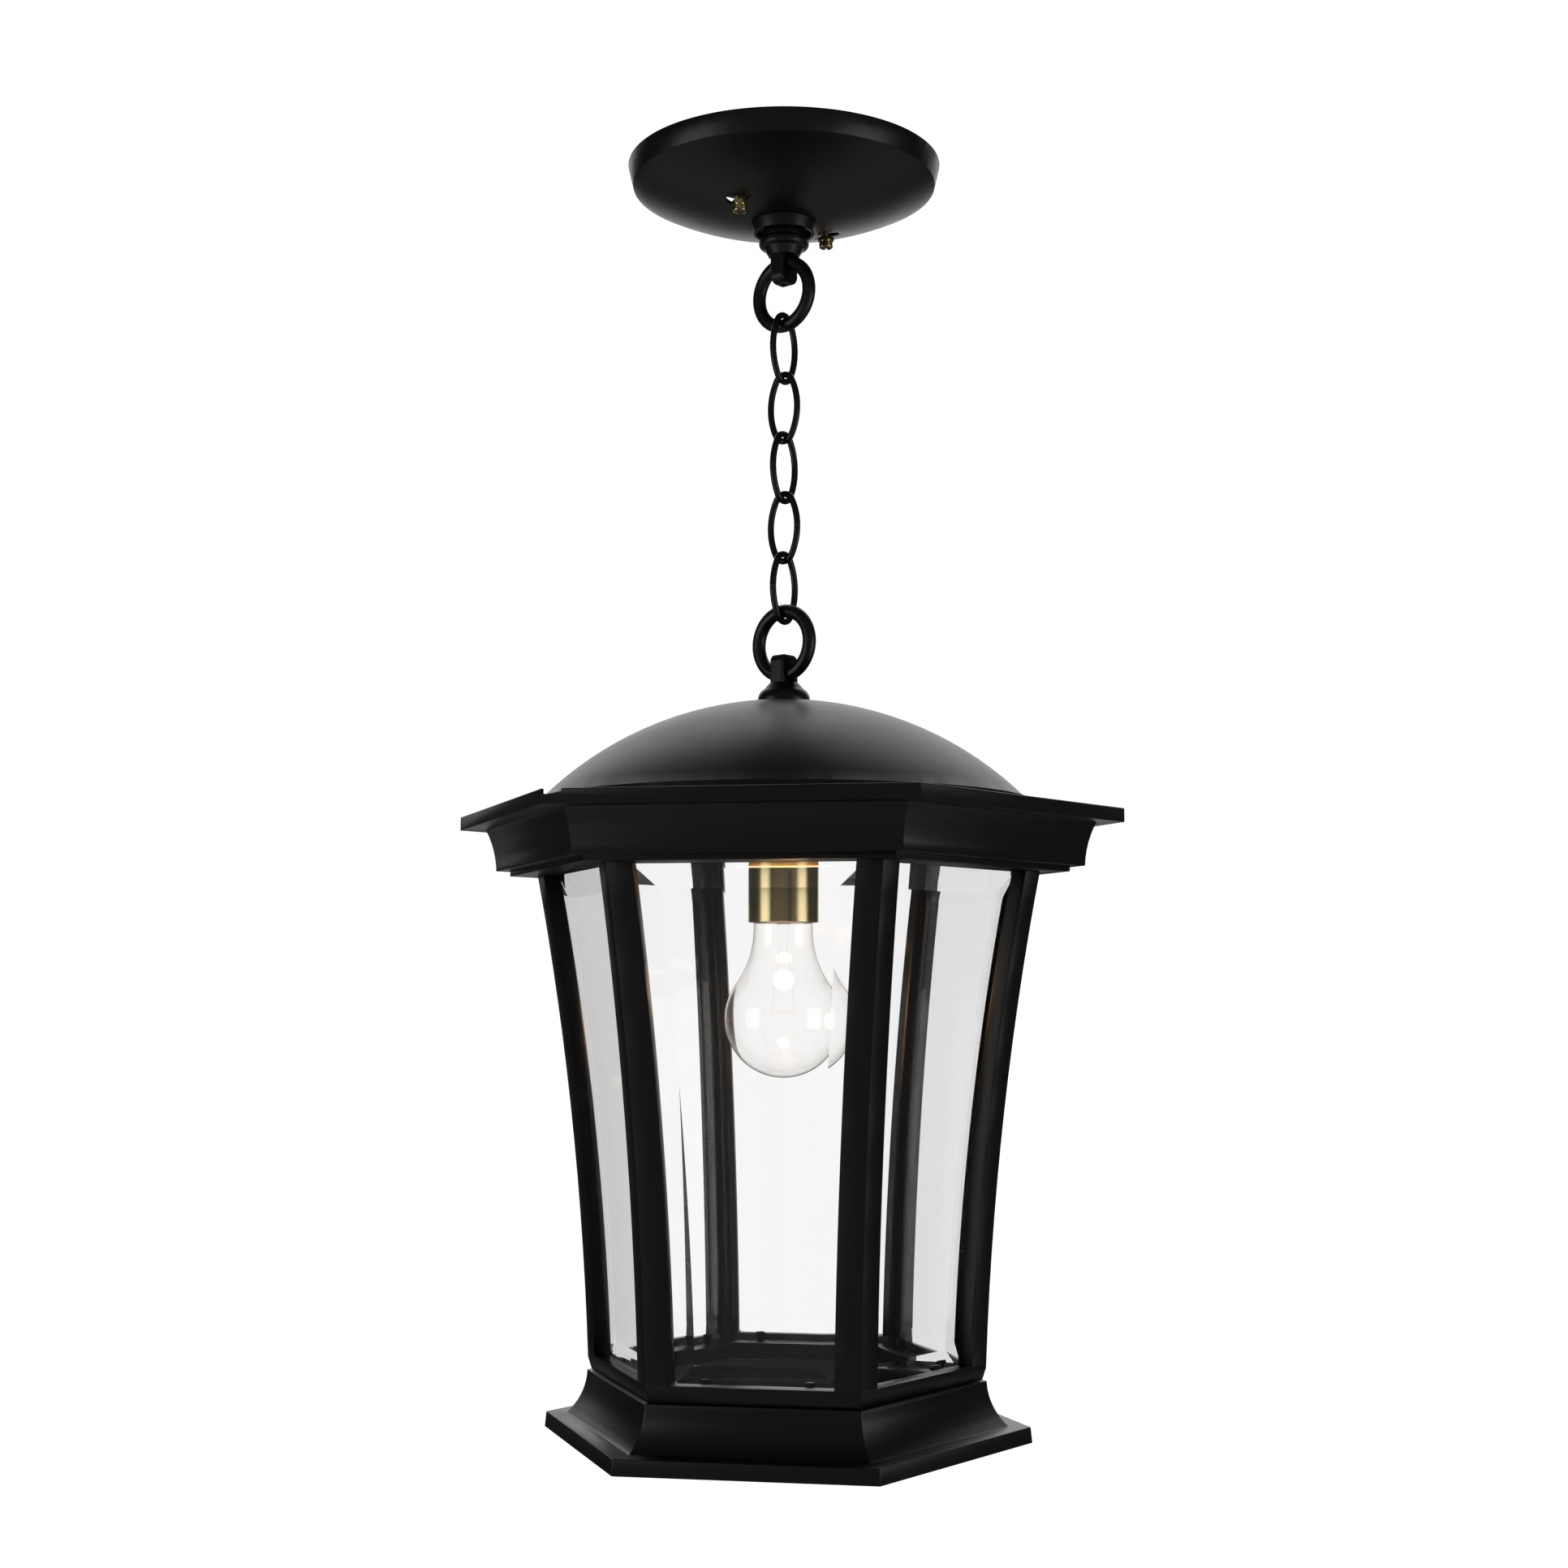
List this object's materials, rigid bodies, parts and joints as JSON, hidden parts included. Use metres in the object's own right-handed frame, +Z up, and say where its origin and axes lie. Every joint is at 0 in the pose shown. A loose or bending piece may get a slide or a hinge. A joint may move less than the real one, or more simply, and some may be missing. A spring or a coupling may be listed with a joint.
{
  "type": "hanging lantern",
  "caption": "Hexagonal hanging lantern with a domed roof, bent bevelled glass sides and an open base, on a short ring and link chain from a round ceiling canopy.",
  "frame": {"origin": "centre of the ceiling face of the canopy, on the plane where the canopy meets the ceiling", "axes": "+Z up; the front pane looks along -Y; +X to the right of someone looking at the front pane; the lantern hangs below z = 0"},
  "size_m": [0.3464, 0.3, 0.6549],
  "materials": {
    "satin_black": "satin black powder coat",
    "black_casting": "cast aluminium under a satin black powder coat",
    "black_screws": "black oxide",
    "brass": "bright",
    "satin_brass": "satin",
    "green_screw": "green dyed zinc",
    "zinc_steel": "zinc plated",
    "bevelled_glass": "clear, bevelled edges",
    "lamp_glass": "clear, thin",
    "lamp_cap": "bright",
    "black_insulator": "gloss",
    "lamp_wire": "plain wire"
  },
  "bodies": {
    "ceiling_end": {"crossbar": "zinc_steel", "ground_screw": "green_screw", "canopy": "satin_black", "canopy_screws": "brass", "canopy_hex_nuts": "brass", "canopy_collar": "satin_black", "canopy_loop": "satin_black", "canopy_nipple": "zinc_steel", "canopy_lock_washer": "zinc_steel", "canopy_nipple_nut": "zinc_steel"},
    "upper_ring": {"upper_ring": "satin_black"},
    "link_1": {"chain_link_1": "satin_black"},
    "link_2": {"chain_link_2": "satin_black"},
    "link_3": {"chain_link_3": "satin_black"},
    "link_4": {"chain_link_4": "satin_black"},
    "link_5": {"chain_link_5": "satin_black"},
    "lower_ring": {"lower_ring": "satin_black"},
    "lantern": {"fixture_loop": "satin_black", "stem": "zinc_steel", "stem_washers": "zinc_steel", "stem_nuts": "zinc_steel", "roof": "black_casting", "crown": "black_casting", "crown_screws": "black_screws", "ceiling_plate": "black_casting", "ceiling_screws": "black_screws", "post_1": "black_casting", "post_2": "black_casting", "post_3": "black_casting", "post_4": "black_casting", "post_5": "black_casting", "post_6": "black_casting", "post_screws": "black_screws", "bottom_rail": "black_casting", "pane_screws": "zinc_steel", "glass_pane_1": "bevelled_glass", "glass_pane_2": "bevelled_glass", "glass_pane_3": "bevelled_glass", "glass_pane_4": "bevelled_glass", "glass_pane_5": "bevelled_glass", "glass_pane_6": "bevelled_glass", "base": "black_casting", "base_screws": "black_screws", "socket_cup": "satin_brass", "socket_insulator": "black_insulator", "terminal_screws": "brass", "screw_shell": "brass", "centre_contact": "brass"},
    "bulb": {"bulb_cap": "lamp_cap", "bulb_base_insulator": "black_insulator", "bulb_contact": "brass", "bulb_glass": "lamp_glass", "bulb_stem": "lamp_glass", "bulb_leads": "lamp_wire", "bulb_filament": "lamp_wire"}
  },
  "joints": [
    {"name": "upper_ring_in_canopy_loop", "type": "hinge", "parent": "ceiling_end", "child": "upper_ring", "pos_m": [0, 0, -0.05135], "axis": [0.866, -0.5, 0], "range_deg": [-15, 15]},
    {"name": "link_1_on_ring", "type": "hinge", "parent": "upper_ring", "child": "link_1", "pos_m": [0, 0, -0.08515], "axis": [0.866, -0.5, 0], "range_deg": [-15, 15]},
    {"name": "link_2_on_link_1", "type": "hinge", "parent": "link_1", "child": "link_2", "pos_m": [0, 0, -0.11524], "axis": [0.5, 0.866, 0], "range_deg": [-15, 15]},
    {"name": "link_3_on_link_2", "type": "hinge", "parent": "link_2", "child": "link_3", "pos_m": [0, 0, -0.14711], "axis": [0.866, -0.5, 0], "range_deg": [-15, 15]},
    {"name": "link_4_on_link_3", "type": "hinge", "parent": "link_3", "child": "link_4", "pos_m": [0, 0, -0.17899], "axis": [0.5, 0.866, 0], "range_deg": [-15, 15]},
    {"name": "link_5_on_link_4", "type": "hinge", "parent": "link_4", "child": "link_5", "pos_m": [0, 0, -0.21088], "axis": [0.866, -0.5, 0], "range_deg": [-15, 15]},
    {"name": "lower_ring_on_link_5", "type": "hinge", "parent": "link_5", "child": "lower_ring", "pos_m": [0, 0, -0.24275], "axis": [0.5, 0.866, 0], "range_deg": [-15, 15]},
    {"name": "fixture_loop_on_lower_ring", "type": "hinge", "parent": "lower_ring", "child": "lantern", "pos_m": [0, 0, -0.27105], "axis": [0.866, -0.5, 0], "range_deg": [-15, 15]},
    {"name": "bulb_out_of_socket", "type": "slide", "parent": "lantern", "child": "bulb", "axis": [0, 0, -1], "range_m": [0, 0.028]}
  ]
}
